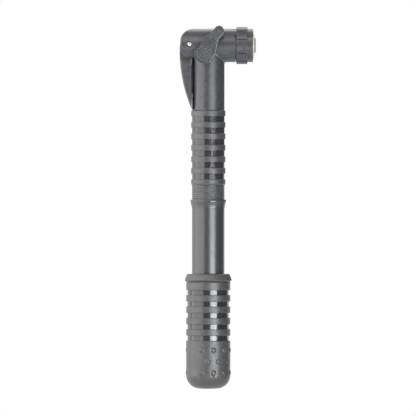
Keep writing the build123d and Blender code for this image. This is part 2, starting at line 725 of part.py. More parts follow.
with BuildPart() as piston_head:
    with BuildSketch(Plane.XY.offset(PISTON_BOTTOM)):
        Circle(PISTON_R)
    extrude(amount=PISTON_TOP - PISTON_BOTTOM)
    chamfer(piston_head.edges().group_by(Axis.Z)[-1], 0.6)
    with BuildSketch(Plane.XY.offset(PISTON_RING_Z - PISTON_RING_TUBE - 0.1)):
        Circle(PISTON_R + 1)
        Circle(BORE_R - 2 * PISTON_RING_TUBE, mode=Mode.SUBTRACT)
    extrude(amount=2 * PISTON_RING_TUBE + 0.2, mode=Mode.SUBTRACT)
    with BuildSketch(Plane.XY.offset(PISTON_BOTTOM)):
        Circle(ROD_R)
    extrude(amount=ROD_TOP - PISTON_BOTTOM, mode=Mode.SUBTRACT)
    with BuildSketch(Plane.XY.offset(ROD_TOP)):
        Circle(ROD_BORE_R)
    extrude(amount=PISTON_TOP - ROD_TOP, mode=Mode.SUBTRACT)
piston_head.part.label = "piston_head"
export_step(piston_head.part, "parts/piston_head.step")

with BuildPart() as piston_seal:
    with BuildSketch(Plane.XZ):
        with Locations((BORE_R - PISTON_RING_TUBE, PISTON_RING_Z)):
            Circle(PISTON_RING_TUBE - 0.03)
    revolve(axis=Axis.Z)
piston_seal.part.label = "piston_seal"
export_step(piston_seal.part, "parts/piston_seal.step")

with BuildPart() as piston_screw:
    with BuildSketch(Plane.XY.offset(PISTON_TOP - 14)):
        Circle(ROD_BORE_R)
    extrude(amount=14)
    with BuildSketch(Plane.XY.offset(PISTON_TOP)):
        Circle(3.6)
    extrude(amount=2)
    fillet(piston_screw.faces().sort_by(Axis.Z)[-1].edges(), 0.8)
    with BuildSketch(Plane.XY.offset(PISTON_TOP + 1)):
        Rectangle(4.0, 0.9)
        Rectangle(0.9, 4.0)
    extrude(amount=1, mode=Mode.SUBTRACT)
piston_screw.part.label = "piston_screw"
export_step(piston_screw.part, "parts/piston_screw.step")

SCREW_HEAD_R = 4.8

with BuildPart() as rod_screw:
    with BuildSketch(Plane.XY.offset(SHANK_BOTTOM - 0.1)):
        Circle(ROD_BORE_R)
    extrude(amount=14)
    with BuildSketch(Plane.XY.offset(SHANK_BOTTOM - 2.3)):
        Circle(SCREW_HEAD_R)
    extrude(amount=2.2)
    with BuildSketch(Plane.XY.offset(SHANK_BOTTOM - 2.3)):
        RegularPolygon(2.0, 6)
    extrude(amount=1.4, mode=Mode.SUBTRACT)
rod_screw.part.label = "rod_screw"
export_step(rod_screw.part, "parts/rod_screw.step")

# ================================================================ handle
LIP_CREST_Z = -26.6
LIP_FOOT_Z = -27.9
CORE_TOP = -24.0
CORE_CORNER_R = 8.4
BUMPER_TOP = CORE_FLOOR + 2.2

with BuildPart() as handle_core:
    with BuildSketch(Plane.XZ) as core_wall:
        Polygon((0, CORE_TOP), (CORE_R, CORE_TOP), (CORE_R, CORE_BOTTOM), (0, CORE_BOTTOM),
                align=None)
        corner = core_wall.vertices().group_by(Axis.Y)[0].sort_by(Axis.X)[-1]
        fillet(corner, CORE_CORNER_R)
    revolve(axis=Axis.Z)
    with BuildSketch(Plane.XY.offset(CORE_FLOOR)):
        Circle(CORE_BORE_R)
    extrude(amount=CORE_TOP - CORE_FLOOR, mode=Mode.SUBTRACT)
    with BuildSketch(Plane.XY.offset(SHANK_BOTTOM)):
        Circle(SHANK_R + RUN)
    extrude(amount=CORE_FLOOR - SHANK_BOTTOM, mode=Mode.SUBTRACT)
    with BuildSketch(Plane.XY.offset(CORE_BOTTOM)):
        Circle(SCREW_HEAD_R + 0.5)
    extrude(amount=SHANK_BOTTOM - CORE_BOTTOM, mode=Mode.SUBTRACT)
handle_core.part.label = "handle_core"
export_step(handle_core.part, "parts/handle_core.step")

with BuildPart() as handle_lip:
    with BuildSketch(Plane.XZ):
        with BuildLine():
            Polyline(
                (CORE_BORE_R, CORE_TOP),
                (CORE_BORE_R, HANDLE_TOP),
                (14.2, HANDLE_TOP),
            )
            Spline((14.2, HANDLE_TOP), (15.0, HANDLE_TOP - 0.9), (LIP_FLARE_R, LIP_CREST_Z))
            Polyline(
                (LIP_FLARE_R, LIP_CREST_Z),
                (HANDLE_R - 0.1, LIP_FOOT_Z),
                (CORE_R, LIP_FOOT_Z),
                (CORE_R, CORE_TOP),
                (CORE_BORE_R, CORE_TOP),
            )
        make_face()
    revolve(axis=Axis.Z)
handle_lip.part.label = "handle_lip"
export_step(handle_lip.part, "parts/handle_lip.step")

with BuildPart() as handle_bands:
    for i in range(HGROOVE_COUNT):
        top = LIP_FOOT_Z if i == 0 else HGROOVE_TOP - HGROOVE_H - (i - 1) * HGROOVE_PITCH
        bottom = HGROOVE_TOP - i * HGROOVE_PITCH
        with BuildSketch(Plane.XZ) as ring:
            with Locations(((CORE_R + HANDLE_R) / 2, (top + bottom) / 2)):
                Rectangle(HANDLE_R - CORE_R, top - bottom)
            fillet(ring.vertices().group_by(Axis.X)[-1], 0.45)
        revolve(axis=Axis.Z)
handle_bands.part.label = "handle_bands"
export_step(handle_bands.part, "parts/handle_bands.step")

NUB_ROWS = ((-74.1, 4), (-81.9, 3), (-89.5, 4))
NUB_STEP = 32.7  # angle between neighbouring nubs of a row
NUB_CENTRE = -60  # middle of the nub patch, from +X about +Z
NUB_SPHERE_R = (NUB_R**2 + NUB_HEIGHT**2) / (2 * NUB_HEIGHT)
CROWN = 0.5

with BuildPart() as handle_grip:
    with BuildSketch(Plane.XZ) as grip_wall:
        Polygon((0, GRIP_TOP), (HANDLE_R, GRIP_TOP), (HANDLE_R, HANDLE_BOTTOM + CROWN),
                (0, HANDLE_BOTTOM), align=None)
        outer = grip_wall.vertices().group_by(Axis.X)[-1].sort_by(Axis.Y)
        fillet(outer[0], 9.4)
        fillet(outer[1], 0.45)
    revolve(axis=Axis.Z)
    for patch in (NUB_CENTRE, NUB_CENTRE + 180):
        for z, count in NUB_ROWS:
            for i in range(count):
                angle = radians(patch + (i - (count - 1) / 2) * NUB_STEP)
                reach = HANDLE_R + NUB_HEIGHT - NUB_SPHERE_R
                with Locations((reach * cos(angle), reach * sin(angle), z)):
                    Sphere(NUB_SPHERE_R)
    # the core's seat
    with BuildSketch(Plane.XZ) as seat:
        Polygon((0, GRIP_TOP), (CORE_R, GRIP_TOP), (CORE_R, CORE_BOTTOM), (0, CORE_BOTTOM),
                align=None)
        corner = seat.vertices().group_by(Axis.Y)[0].sort_by(Axis.X)[-1]
        fillet(corner, CORE_CORNER_R)
    revolve(axis=Axis.Z, mode=Mode.SUBTRACT)
handle_grip.part.label = "handle_grip"
export_step(handle_grip.part, "parts/handle_grip.step")

with BuildPart() as bumper:
    with BuildSketch(Plane.XY.offset(CORE_FLOOR)):
        Circle(10.4)
        Circle(ROD_R + 0.4, mode=Mode.SUBTRACT)
    extrude(amount=BUMPER_TOP - CORE_FLOOR)
    chamfer(bumper.edges().group_by(Axis.Z)[-1], 0.3)
bumper.part.label = "bumper"
export_step(bumper.part, "parts/bumper.step")
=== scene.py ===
"""Studio scene of a bicycle mini pump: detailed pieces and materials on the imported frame."""

import json
import math

import bmesh
import bpy
from mathutils import Matrix, Vector

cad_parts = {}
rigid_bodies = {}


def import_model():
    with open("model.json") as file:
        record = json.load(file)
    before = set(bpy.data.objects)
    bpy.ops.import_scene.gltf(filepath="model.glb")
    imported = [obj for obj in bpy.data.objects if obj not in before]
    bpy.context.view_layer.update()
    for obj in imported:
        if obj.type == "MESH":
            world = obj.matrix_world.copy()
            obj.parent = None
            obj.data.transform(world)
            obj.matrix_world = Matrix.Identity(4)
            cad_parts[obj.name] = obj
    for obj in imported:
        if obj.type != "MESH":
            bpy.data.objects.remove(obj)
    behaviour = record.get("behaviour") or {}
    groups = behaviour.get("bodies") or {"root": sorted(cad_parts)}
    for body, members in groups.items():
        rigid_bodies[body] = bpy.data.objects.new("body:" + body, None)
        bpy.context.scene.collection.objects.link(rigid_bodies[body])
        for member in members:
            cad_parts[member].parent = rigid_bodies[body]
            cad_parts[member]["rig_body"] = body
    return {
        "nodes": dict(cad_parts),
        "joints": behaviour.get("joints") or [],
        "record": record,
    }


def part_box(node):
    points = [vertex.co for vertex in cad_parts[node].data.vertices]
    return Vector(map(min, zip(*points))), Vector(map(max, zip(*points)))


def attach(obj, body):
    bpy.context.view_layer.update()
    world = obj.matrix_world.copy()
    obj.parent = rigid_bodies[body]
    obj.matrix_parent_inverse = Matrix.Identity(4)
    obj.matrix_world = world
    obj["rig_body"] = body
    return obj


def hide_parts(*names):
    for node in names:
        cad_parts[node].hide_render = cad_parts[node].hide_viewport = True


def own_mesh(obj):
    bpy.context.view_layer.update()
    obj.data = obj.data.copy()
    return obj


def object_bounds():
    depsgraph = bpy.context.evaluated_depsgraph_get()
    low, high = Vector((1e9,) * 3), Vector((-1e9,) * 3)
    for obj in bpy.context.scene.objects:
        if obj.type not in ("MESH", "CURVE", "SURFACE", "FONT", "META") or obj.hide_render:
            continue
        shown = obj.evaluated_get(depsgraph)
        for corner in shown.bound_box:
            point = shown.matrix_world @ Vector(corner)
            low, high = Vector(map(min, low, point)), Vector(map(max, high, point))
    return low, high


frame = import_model()
CAD_BOX = [list(corner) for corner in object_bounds()]
MM = 0.001
TINY = 0.001 * MM  # less than any step in an outline
SEGMENTS = 160  # sides of a turned piece


# ---------------------------------------------------------------- places, from the frame
def span(node):
    """Outer radius, lowest and highest z of a node that is round about the barrel."""
    low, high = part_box(node)
    return high.x, low.z, high.z


def joint(name):
    return next(j for j in frame["joints"] if j["name"] == name)


LOWEST_Z = CAD_BOX[0][2]
HANDLE_TRAVEL = joint("handle_slide")["range_m"][1]
NOZZLE_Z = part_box("valve_pin")[0].lerp(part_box("valve_pin")[1], 0.5).z
NOZZLE = Matrix.Translation((0, 0, NOZZLE_Z)) @ Matrix.Rotation(math.pi / 2, 4, "Y")
PIVOT = Vector(joint("lock_lever_hinge")["pos_m"])
PIVOT_AXIS = Matrix.Translation(PIVOT) @ Matrix.Rotation(math.pi / 2, 4, "X")


# ---------------------------------------------------------------- node helpers
class Nodes:
    """A material's node tree, with short calls for the nodes that the materials share."""

    def __init__(self, name):
        self.material = bpy.data.materials.new(name)
        self.material.use_nodes = True
        self.tree = self.material.node_tree
        self.tree.nodes.clear()
        self.shader = self.add("ShaderNodeBsdfPrincipled")
        self.output = self.add("ShaderNodeOutputMaterial")
        self.link(self.shader.outputs["BSDF"], self.output.inputs["Surface"])
        self.place = self.add("ShaderNodeTexCoord").outputs["Object"]

    def add(self, kind, **settings):
        node = self.tree.nodes.new(kind)
        for key, value in settings.items():
            if hasattr(node, key):
                setattr(node, key, value)
            else:
                node.inputs[key].default_value = value
        return node

    def link(self, out, into):
        self.tree.links.new(out, into)

    def set(self, socket, value):
        self.shader.inputs[socket].default_value = value

    def drive(self, socket, out):
        self.link(out, self.shader.inputs[socket])

    def stretched(self, scale):
        """Object coordinates scaled by (x, y, z)."""
        node = self.add("ShaderNodeMapping")
        node.inputs["Scale"].default_value = scale
        self.link(self.place, node.inputs["Vector"])
        return node.outputs["Vector"]

    def noise(self, size, detail=3.0, rough=0.55, vector=None):
        """Noise of features about size metres across, from 0 to 1."""
        node = self.add("ShaderNodeTexNoise", Detail=detail, Roughness=rough, Scale=1.0 / size)
        self.link(vector or self.place, node.inputs["Vector"])
        return node.outputs["Fac"]

    def ramp(self, factor, *stops):
        """Colour ramp through (position, grey or colour) stops."""
        node = self.add("ShaderNodeValToRGB")
        elements = node.color_ramp.elements
        while len(elements) < len(stops):
            elements.new(0.5)
        for element, (position, colour) in zip(elements, stops):
            element.position = position
            is_grey = isinstance(colour, (int, float))
            element.color = (colour,) * 3 + (1,) if is_grey else tuple(colour) + (1,)
        self.link(factor, node.inputs["Fac"])
        return node.outputs["Color"]

    def mix(self, factor, first, second):
        """Colour mix; each of factor, first and second is a socket or a constant."""
        node = self.add("ShaderNodeMix", data_type="RGBA")
        for value, socket in zip((factor, first, second), (0, 6, 7)):
            if hasattr(value, "links"):
                self.link(value, node.inputs[socket])
            elif socket == 0:
                node.inputs[socket].default_value = value
            else:
                node.inputs[socket].default_value = tuple(value) + (1,)
        return node.outputs[2]

    def bump(self, height, distance, strength=1.0, normal=None):
        node = self.add("ShaderNodeBump", Strength=strength, Distance=distance)
        self.link(height, node.inputs["Height"])
        if normal is not None:
            self.link(normal, node.inputs["Normal"])
        return node.outputs["Normal"]

    def round_edges(self, radius):
        return self.add("ShaderNodeBevel", samples=4, Radius=radius).outputs["Normal"]

    def edges(self, radius):
        """1 along convex and concave edges, 0 on open faces: where the paler edge colour goes,
        partly wear and partly painted highlight.
        """
        dot = self.add("ShaderNodeVectorMath", operation="DOT_PRODUCT")
        self.link(self.round_edges(radius), dot.inputs[0])
        self.link(self.add("ShaderNodeNewGeometry").outputs["Normal"], dot.inputs[1])
        return self.ramp(dot.outputs["Value"], (0.8, 1.0), (0.985, 0.0))


def grey(value, tint=(1, 1, 1.05)):
    return tuple(value * t for t in tint)


# ---------------------------------------------------------------- materials
def moulded_plastic(name, dark, light, rough, grain=0.25 * MM, depth=0.014 * MM, edge=0.3 * MM):
    """Spark-eroded matte plastic: fine grain, cloudy colour, paler edges that are partly rubbed
    wear and partly a painted highlight.
    """
    n = Nodes(name)
    cloud = n.noise(2.2 * MM, 6, 0.7)
    colour = n.ramp(cloud, (0.3, dark), (0.7, light))
    # painted highlight: convex and concave edges alike are lightened to three times the light tone,
    # partly wear and partly light caught on the rounded edges
    wear_and_highlight = tuple(3.0 * c for c in light)
    n.drive("Base Color", n.mix(n.edges(edge), colour, wear_and_highlight))
    polish = n.noise(2.5 * MM, 5)
    n.drive("Roughness", n.ramp(polish, (0.3, rough - 0.05), (0.7, rough + 0.07)))
    leather = n.bump(n.noise(1.3 * MM, 4, 0.6), 0.03 * MM, 0.8, n.round_edges(edge))
    n.drive("Normal", n.bump(n.noise(grain, 2), depth, 1.0, leather))
    return n.material


def gloss_plastic(name, dark, light, rough, ior, edge=0.15 * MM):
    """Polished black plastic with a faint orange peel and duller streaks along z."""
    n = Nodes(name)
    n.drive("Base Color", n.ramp(n.noise(6 * MM, 3), (0.3, dark), (0.7, light)))
    streaks = n.noise(0.7 * MM, 3, vector=n.stretched((1, 1, 0.05)))
    n.drive("Roughness", n.ramp(streaks, (0.4, rough), (0.7, rough + 0.22)))
    n.set("IOR", ior)
    n.drive("Normal", n.bump(n.noise(2.2 * MM, 2), 0.012 * MM, 0.8, n.round_edges(edge)))
    return n.material


def satin_tube(name, dark, light, rough):
    """Black anodised tube: drawn lines along it, faint handling marks."""
    n = Nodes(name)
    draw = n.noise(0.35 * MM, 3, vector=n.stretched((1, 1, 0.02)))
    n.drive("Base Color", n.ramp(draw, (0.3, dark), (0.7, light)))
    marks = n.noise(5 * MM, 6, 0.65)
    n.drive("Roughness", n.ramp(marks, (0.3, rough), (0.75, rough + 0.09)))
    n.set("IOR", 1.55)
    n.drive("Normal", n.bump(draw, 0.004 * MM, 0.8, n.round_edges(0.15 * MM)))
    return n.material


def soft_rubber(name, dark, light, rough, edge=0.3 * MM):
    """Matte rubber: speckled skin with paler, cloudy patches."""
    n = Nodes(name)
    speckle = n.noise(0.55 * MM, 4, 0.7)
    colour = n.ramp(speckle, (0.35, dark), (0.65, light))
    bloom = n.ramp(n.noise(9 * MM, 4), (0.35, 0.0), (0.75, 0.35))
    n.drive("Base Color", n.mix(bloom, colour, tuple(1.5 * c for c in light)))
    n.drive("Roughness", n.ramp(speckle, (0.3, rough + 0.08), (0.7, rough - 0.05)))
    n.drive("Normal", n.bump(n.noise(0.32 * MM, 3, 0.7), 0.02 * MM, 1.0, n.round_edges(edge)))
    return n.material


def turned_metal(name, dark, light, rough, stretch, edge=0.1 * MM):
    """Metal with fine tool lines along the axis where stretch is smallest."""
    n = Nodes(name)
    lines = n.noise(0.25 * MM, 3, vector=n.stretched(stretch))
    n.drive("Base Color", n.ramp(lines, (0.3, dark), (0.7, light)))
    n.drive("Roughness", n.ramp(lines, (0.3, rough), (0.7, rough + 0.12)))
    n.set("Metallic", 1.0)
    n.drive("Normal", n.bump(lines, 0.004 * MM, 1.0, n.round_edges(edge)))
    return n.material


MATERIALS = {
    "matte_black": moulded_plastic(
        "moulded_black", grey(0.017, (0.98, 1, 1.12)), grey(0.045, (0.98, 1, 1.1)), 0.34),
    "gloss_black": gloss_plastic("polished_black", grey(0.016), grey(0.024), 0.09, 1.5),
    "tube_black": satin_tube("satin_tube", grey(0.022), grey(0.028), 0.27),
    "grip_rubber": soft_rubber(
        "matte_rubber", grey(0.020, (1, 1, 1.03)), grey(0.048, (1, 1, 1.03)), 0.38),
    "seal_rubber": soft_rubber("seal_rubber", grey(0.015), grey(0.03), 0.5),
    "gland_rubber": soft_rubber("gland_rubber", grey(0.06), grey(0.09), 0.5),
    "pale_plastic": moulded_plastic(
        "cream_plastic", (0.47, 0.46, 0.41), (0.56, 0.55, 0.49), 0.45),
    "inner_plastic": moulded_plastic("inner_plastic", grey(0.03), grey(0.05), 0.4),
    "brass": turned_metal(
        "turned_brass", (0.6, 0.42, 0.16), (0.75, 0.56, 0.25), 0.25, (1, 8, 1)),
    "steel": turned_metal(
        "bright_steel", grey(0.42, (1, 1, 1)), grey(0.56, (1, 1, 0.97)), 0.34, (1, 1, 1)),
    "rod_alloy": turned_metal("drawn_alloy", grey(0.30), grey(0.40), 0.30, (12, 12, 0.5)),
}

SLOTS = {part["node"]: part["material_slot"] for part in frame["record"]["subparts"]}
for node, cad in frame["nodes"].items():
    cad.data.materials.clear()
    cad.data.materials.append(MATERIALS[SLOTS[node]])


# ---------------------------------------------------------------- mesh helpers
def rounded(corners, steps=6):
    """Closed outline through (radius, height, fillet) corners, each fillet as a short arc."""
    points = []
    for i, (r, h, fillet) in enumerate(corners):
        here = Vector((r, h))
        if not fillet:
            points.append(here)
            continue
        back = (Vector(corners[i - 1][:2]) - here).normalized()
        on = (Vector(corners[(i + 1) % len(corners)][:2]) - here).normalized()
        half = back.angle(on) / 2
        centre = here + (back + on).normalized() * (fillet / math.sin(half))
        reach = fillet / math.tan(half)
        first = here + back * reach - centre
        last = here + on * reach - centre
        sweep = math.atan2(first.cross(last), first.dot(last))
        for k in range(steps + 1):
            turn = Matrix.Rotation(sweep * k / steps, 2)
            points.append(centre + turn @ first)
    return points


def divided(points, step, low, high):
    """The outline with its runs between heights low and high cut into short lengths."""
    out = []
    for i, here in enumerate(points):
        out.append(here)
        after = points[(i + 1) % len(points)]
        middle = (here.y + after.y) / 2
        if low <= middle <= high:
            parts = math.ceil((after - here).length / step)
            out.extend(here.lerp(after, k / parts) for k in range(1, parts))
    return out


def turned(bm, outline, segments=SEGMENTS, shape=None):
    """Turns a closed (radius, height) outline about z. shape(angle, r, h) may move r."""
    loops = []
    for r, h in outline:
        if r < TINY:
            loops.append([bm.verts.new((0, 0, h))])
            continue
        loop = []
        for k in range(segments):
            a = 2 * math.pi * k / segments
            reach = shape(a, r, h) if shape else r
            loop.append(bm.verts.new((reach * math.cos(a), reach * math.sin(a), h)))
        loops.append(loop)
    for i, one in enumerate(loops):
        other = loops[(i + 1) % len(loops)]
        if len(one) == 1 and len(other) == 1:
            continue
        for k in range(segments):
            m = (k + 1) % segments
            corners = [one[k % len(one)], one[m % len(one)],
                       other[m % len(other)], other[k % len(other)]]
            bm.faces.new(list(dict.fromkeys(corners)))


def piece(name, bm, nodes, place=None, like=None):
    """Makes the mesh an object that stands for CAD nodes and takes the first one's finish."""
    if place is not None:
        bm.transform(place)
    bmesh.ops.recalc_face_normals(bm, faces=bm.faces)
    mesh = bpy.data.meshes.new(name)
    bm.to_mesh(mesh)
    bm.free()
    mesh.shade_smooth()
    mesh.set_sharp_from_angle(angle=math.radians(40))
    obj = bpy.data.objects.new(name, mesh)
    bpy.context.scene.collection.objects.link(obj)
    weighted = obj.modifiers.new("even_shading", "WEIGHTED_NORMAL")
    weighted.keep_sharp = True
    slot = like or SLOTS[nodes[0]]
    mesh.materials.append(MATERIALS[slot])
    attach(obj, frame["nodes"][nodes[0]]["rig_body"])
    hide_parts(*nodes)
    return obj


def ring(corners, **options):
    """A new mesh, turned from (radius, height, fillet) corners."""
    bm = bmesh.new()
    turned(bm, rounded(corners), **options)
    return bm


# ---------------------------------------------------------------- barrel and upper grip
SEAT_R = span("barrel_seal")[0]
BORE_R = SEAT_R - 1.0 * MM
GROOVE_R, SLEEVE_LOW, SLEEVE_HIGH = span("grip_sleeve")
BAND_R, BANDS_LOW, BANDS_HIGH = span("grip_bands")
BAND_COUNT = 7
BAND_H = 3.9 * MM
BAND_PITCH = (BANDS_HIGH - BANDS_LOW - BAND_H) / (BAND_COUNT - 1)
BAND_ROOT_R = GROOVE_R - 0.5 * MM
LAST_BAND_TAPER = 0.45 * MM  # the lowest band slopes in towards the cuff
CUFF_HIGH = BANDS_LOW + 0.2 * MM
RIB_PITCH = 1.25 * MM  # fine turned ribs of the cuff and the collar
CUFF_RIB_DEPTH = 0.22 * MM
COLLAR_RIB_DEPTH = 0.04 * MM


def barrel():
    """Tube, turned down where the collar and the sleeve sit on it."""
    r, low, high = span("barrel_tube")
    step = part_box("barrel_collar")[0].z
    bm = ring([
        (BORE_R, low, 0.3 * MM), (r, low, 0.4 * MM), (r, step, 0.1 * MM),
        (SEAT_R, step, 0), (SEAT_R, high, 0.3 * MM), (BORE_R, high, 0.2 * MM),
    ])
    piece("barrel", bm, ["barrel_tube"])


def ribbed(points, depth):
    """The outline's runs, cut by shallow turned grooves that follow one another up them."""
    out = [points[0]]
    for here, after in zip(points, points[1:]):
        count = max(round((after - here).length / RIB_PITCH), 1)
        for k in range(count):
            out.append(here.lerp(after, (k + 0.25) / count))
            out.append(here.lerp(after, (k + 0.5) / count) - Vector((depth, 0)))
            out.append(here.lerp(after, (k + 0.75) / count))
        out.append(after)
    return out


def collar():
    """Trumpet-shaped ring with fine ribs and a crisp upper brim."""
    r, low, high = span("barrel_collar")
    flare = [(r - 0.95 * MM, low), (r - 0.8 * MM, low + 1.2 * MM), (r - 0.5 * MM, low + 2.6 * MM),
             (r - 0.12 * MM, low + 4.1 * MM)]
    brim = [(r, low + 4.7 * MM), (r - 0.06 * MM, high - 0.3 * MM), (r - 0.35 * MM, high)]
    bm = bmesh.new()
    inner = [Vector((SEAT_R, high)), Vector((SEAT_R, low))]
    flare = ribbed([Vector(p) for p in flare], COLLAR_RIB_DEPTH)
    turned(bm, inner + flare + [Vector(p) for p in brim])
    piece("collar", bm, ["barrel_collar"], like="tube_black")


def sleeve():
    """Glossy sleeve that shows between the bands, and its matte cuff."""
    bm = ring([
        (SEAT_R, CUFF_HIGH - 1 * MM, 0), (GROOVE_R - 0.1 * MM, CUFF_HIGH - 1 * MM, 0),
        (GROOVE_R - 0.05 * MM, SLEEVE_HIGH, 0.2 * MM), (SEAT_R, SLEEVE_HIGH, 0),
    ])
    piece("sleeve_grooves", bm, ["grip_sleeve"], like="gloss_black")
    cuff = bmesh.new()
    wall = [Vector((GROOVE_R, SLEEVE_LOW)), Vector((GROOVE_R, CUFF_HIGH))]
    inner = [Vector((SEAT_R, CUFF_HIGH)), Vector((SEAT_R, SLEEVE_LOW))]
    turned(cuff, inner + ribbed(wall, CUFF_RIB_DEPTH))
    piece("sleeve_cuff", cuff, ["grip_sleeve"], like="matte_black")


def grip_bands():
    """Raised bands of the upper grip."""
    bm = bmesh.new()
    for i in range(BAND_COUNT):
        high = BANDS_HIGH - i * BAND_PITCH
        taper = LAST_BAND_TAPER if i == BAND_COUNT - 1 else 0
        turned(bm, rounded([
            (BAND_ROOT_R, high - BAND_H, 0), (BAND_R - taper, high - BAND_H, 0.1 * MM),
            (BAND_R, high - BAND_H + 0.5 * MM + taper, 0.4 * MM),
            (BAND_R, high, 0.5 * MM), (BAND_ROOT_R, high, 0),
        ]))
    piece("upper_bands", bm, ["grip_bands"])


barrel()
collar()
sleeve()
grip_bands()

# ---------------------------------------------------------------- handle
LIP_R, LIP_LOW, LIP_HIGH = span("handle_lip")
CORE_R, CORE_LOW, CORE_HIGH = span("handle_core")
HANDLE_R, _, HBANDS_HIGH = span("handle_bands")
GRIP_LOW, GRIP_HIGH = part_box("handle_grip")[0].z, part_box("handle_grip")[1].z
HBAND_COUNT = 5
HGROOVE_H = 3.3 * MM
HGROOVE_PITCH = 7.74 * MM
SLEEVE_BORE_R = BORE_R + 2.35 * MM  # inside of the handle, which clears the barrel
END_FILLET = 9.4 * MM
CORE_FILLET = 8.4 * MM  # of the inner sleeve's foot, inside the rubber end

NUB_ROWS = ((6.34, 4), (14.14, 3), (21.74, 4))  # mm below the grip's top edge, nubs in the row
NUB_STEP = math.radians(32.7)
NUB_CENTRE = math.radians(-60)
NUB_R = 1.65 * MM
NUB_HEIGHT = 0.55 * MM
NUB_POWER = 1.2  # a plain ellipsoid at 1, more pointed above it
NUB_SEGMENTS = 300  # sides of the turned end, enough to carry the nubs
MOAT_R = 2.25 * MM
MOAT_DEPTH = 0.14 * MM


def nub_places():
    """(angle, height) of every nub: two patches, one facing each side."""
    for patch in (NUB_CENTRE, NUB_CENTRE + math.pi):
        for below, count in NUB_ROWS:
            for i in range(count):
                yield patch + (i - (count - 1) / 2) * NUB_STEP, GRIP_HIGH - below * MM


NUBS = list(nub_places())


def nubbed(angle, r, h):
    """Radius of the rubber grip: its wall, raised into domes that stand in shallow moats."""
    if r < HANDLE_R - TINY:
        return r
    for at, z in NUBS:
        if abs(h - z) > MOAT_R:
            continue
        across = math.remainder(angle - at, 2 * math.pi) * HANDLE_R
        d = math.hypot(across, h - z)
        if d < NUB_R:
            return r + NUB_HEIGHT * math.sqrt(1 - (d / NUB_R) ** 2) ** NUB_POWER
        if d < MOAT_R:
            return r - MOAT_DEPTH * math.sin(math.pi * (d - NUB_R) / (MOAT_R - NUB_R))
    return r


def handle_lip():
    """Flared mouth of the handle: rolled top edge, crest, and an undercut below it."""
    curve = [(LIP_R - 2.3 * MM, LIP_HIGH), (LIP_R - 1.75 * MM, LIP_HIGH - 0.15 * MM),
             (LIP_R - 1.35 * MM, LIP_HIGH - 0.6 * MM), (LIP_R - 0.95 * MM, LIP_HIGH - 1.6 * MM),
             (LIP_R - 0.5 * MM, LIP_HIGH - 2.8 * MM), (LIP_R - 0.1 * MM, LIP_HIGH - 3.8 * MM),
             (LIP_R, LIP_HIGH - 4.15 * MM), (LIP_R - 0.08 * MM, LIP_HIGH - 4.4 * MM),
             (LIP_R - 0.5 * MM, LIP_HIGH - 4.9 * MM), (HANDLE_R - 0.25 * MM, LIP_LOW + 0.15 * MM),
             (HANDLE_R - 0.4 * MM, LIP_LOW)]
    bm = bmesh.new()
    inner = [(CORE_R, LIP_LOW), (CORE_R, CORE_HIGH), (SLEEVE_BORE_R, CORE_HIGH),
             (SLEEVE_BORE_R, LIP_HIGH - 0.3 * MM), (SLEEVE_BORE_R + 0.3 * MM, LIP_HIGH)]
    turned(bm, [Vector(p) for p in curve + inner])
    piece("mouth_lip", bm, ["handle_lip"], like="grip_rubber")


def handle_core():
    """Glossy inner sleeve of the handle, which shows in the grooves."""
    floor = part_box("bumper")[0].z
    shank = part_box("piston_rod")[0].z
    rod_hole = 2.86 * MM
    head_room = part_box("rod_screw")[1].x + 0.5 * MM
    bm = ring([
        (rod_hole, floor, 0), (rod_hole, shank, 0), (head_room, shank, 0), (head_room, CORE_LOW, 0),
        (CORE_R, CORE_LOW, CORE_FILLET), (CORE_R, CORE_HIGH, 0), (SLEEVE_BORE_R, CORE_HIGH, 0),
        (SLEEVE_BORE_R, floor, 0.5 * MM),
    ])
    piece("inner_sleeve", bm, ["handle_core"])


def handle_bands():
    """Rubber rings of the handle, between its glossy grooves."""
    root = CORE_R - 0.3 * MM
    bm = bmesh.new()
    groove_top = GRIP_HIGH + (HBAND_COUNT - 1) * HGROOVE_PITCH + HGROOVE_H
    for i in range(HBAND_COUNT):
        low = groove_top - i * HGROOVE_PITCH
        high = HBANDS_HIGH if i == 0 else low + HGROOVE_PITCH - HGROOVE_H
        turned(bm, rounded([
            (root, low, 0), (HANDLE_R, low, 0.45 * MM),
            (HANDLE_R, high, 0.45 * MM), (root, high, 0),
        ]))
    piece("handle_rings", bm, ["handle_bands"])


def handle_end():
    """Rubber end of the handle, with its nubs and crowned bottom."""
    crown = 0.5 * MM
    outline = rounded([
        (0, GRIP_LOW, 0), (HANDLE_R, GRIP_LOW + crown, END_FILLET),
        (HANDLE_R, GRIP_HIGH, 0.45 * MM), (CORE_R, GRIP_HIGH, 0),
        (CORE_R, CORE_LOW, CORE_FILLET), (0, CORE_LOW, 0),
    ], steps=12)
    fine = divided(outline, 0.3 * MM, GRIP_LOW + END_FILLET, GRIP_HIGH - 1 * MM)
    bm = bmesh.new()
    turned(bm, fine, segments=NUB_SEGMENTS, shape=nubbed)
    piece("nubbed_end", bm, ["handle_grip"])


handle_lip()
handle_core()
handle_bands()
handle_end()

# ---------------------------------------------------------------- chuck
CAP_LOW, CAP_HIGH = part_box("chuck_cap")[0].x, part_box("chuck_cap")[1].x
PAD_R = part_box("chuck_cap")[1].z - NOZZLE_Z
CAP_R = PAD_R - 1.4 * MM
PAD_COUNT = 10
PAD_HALF = 2.3 * MM
PAD_PHASE = math.radians(31)
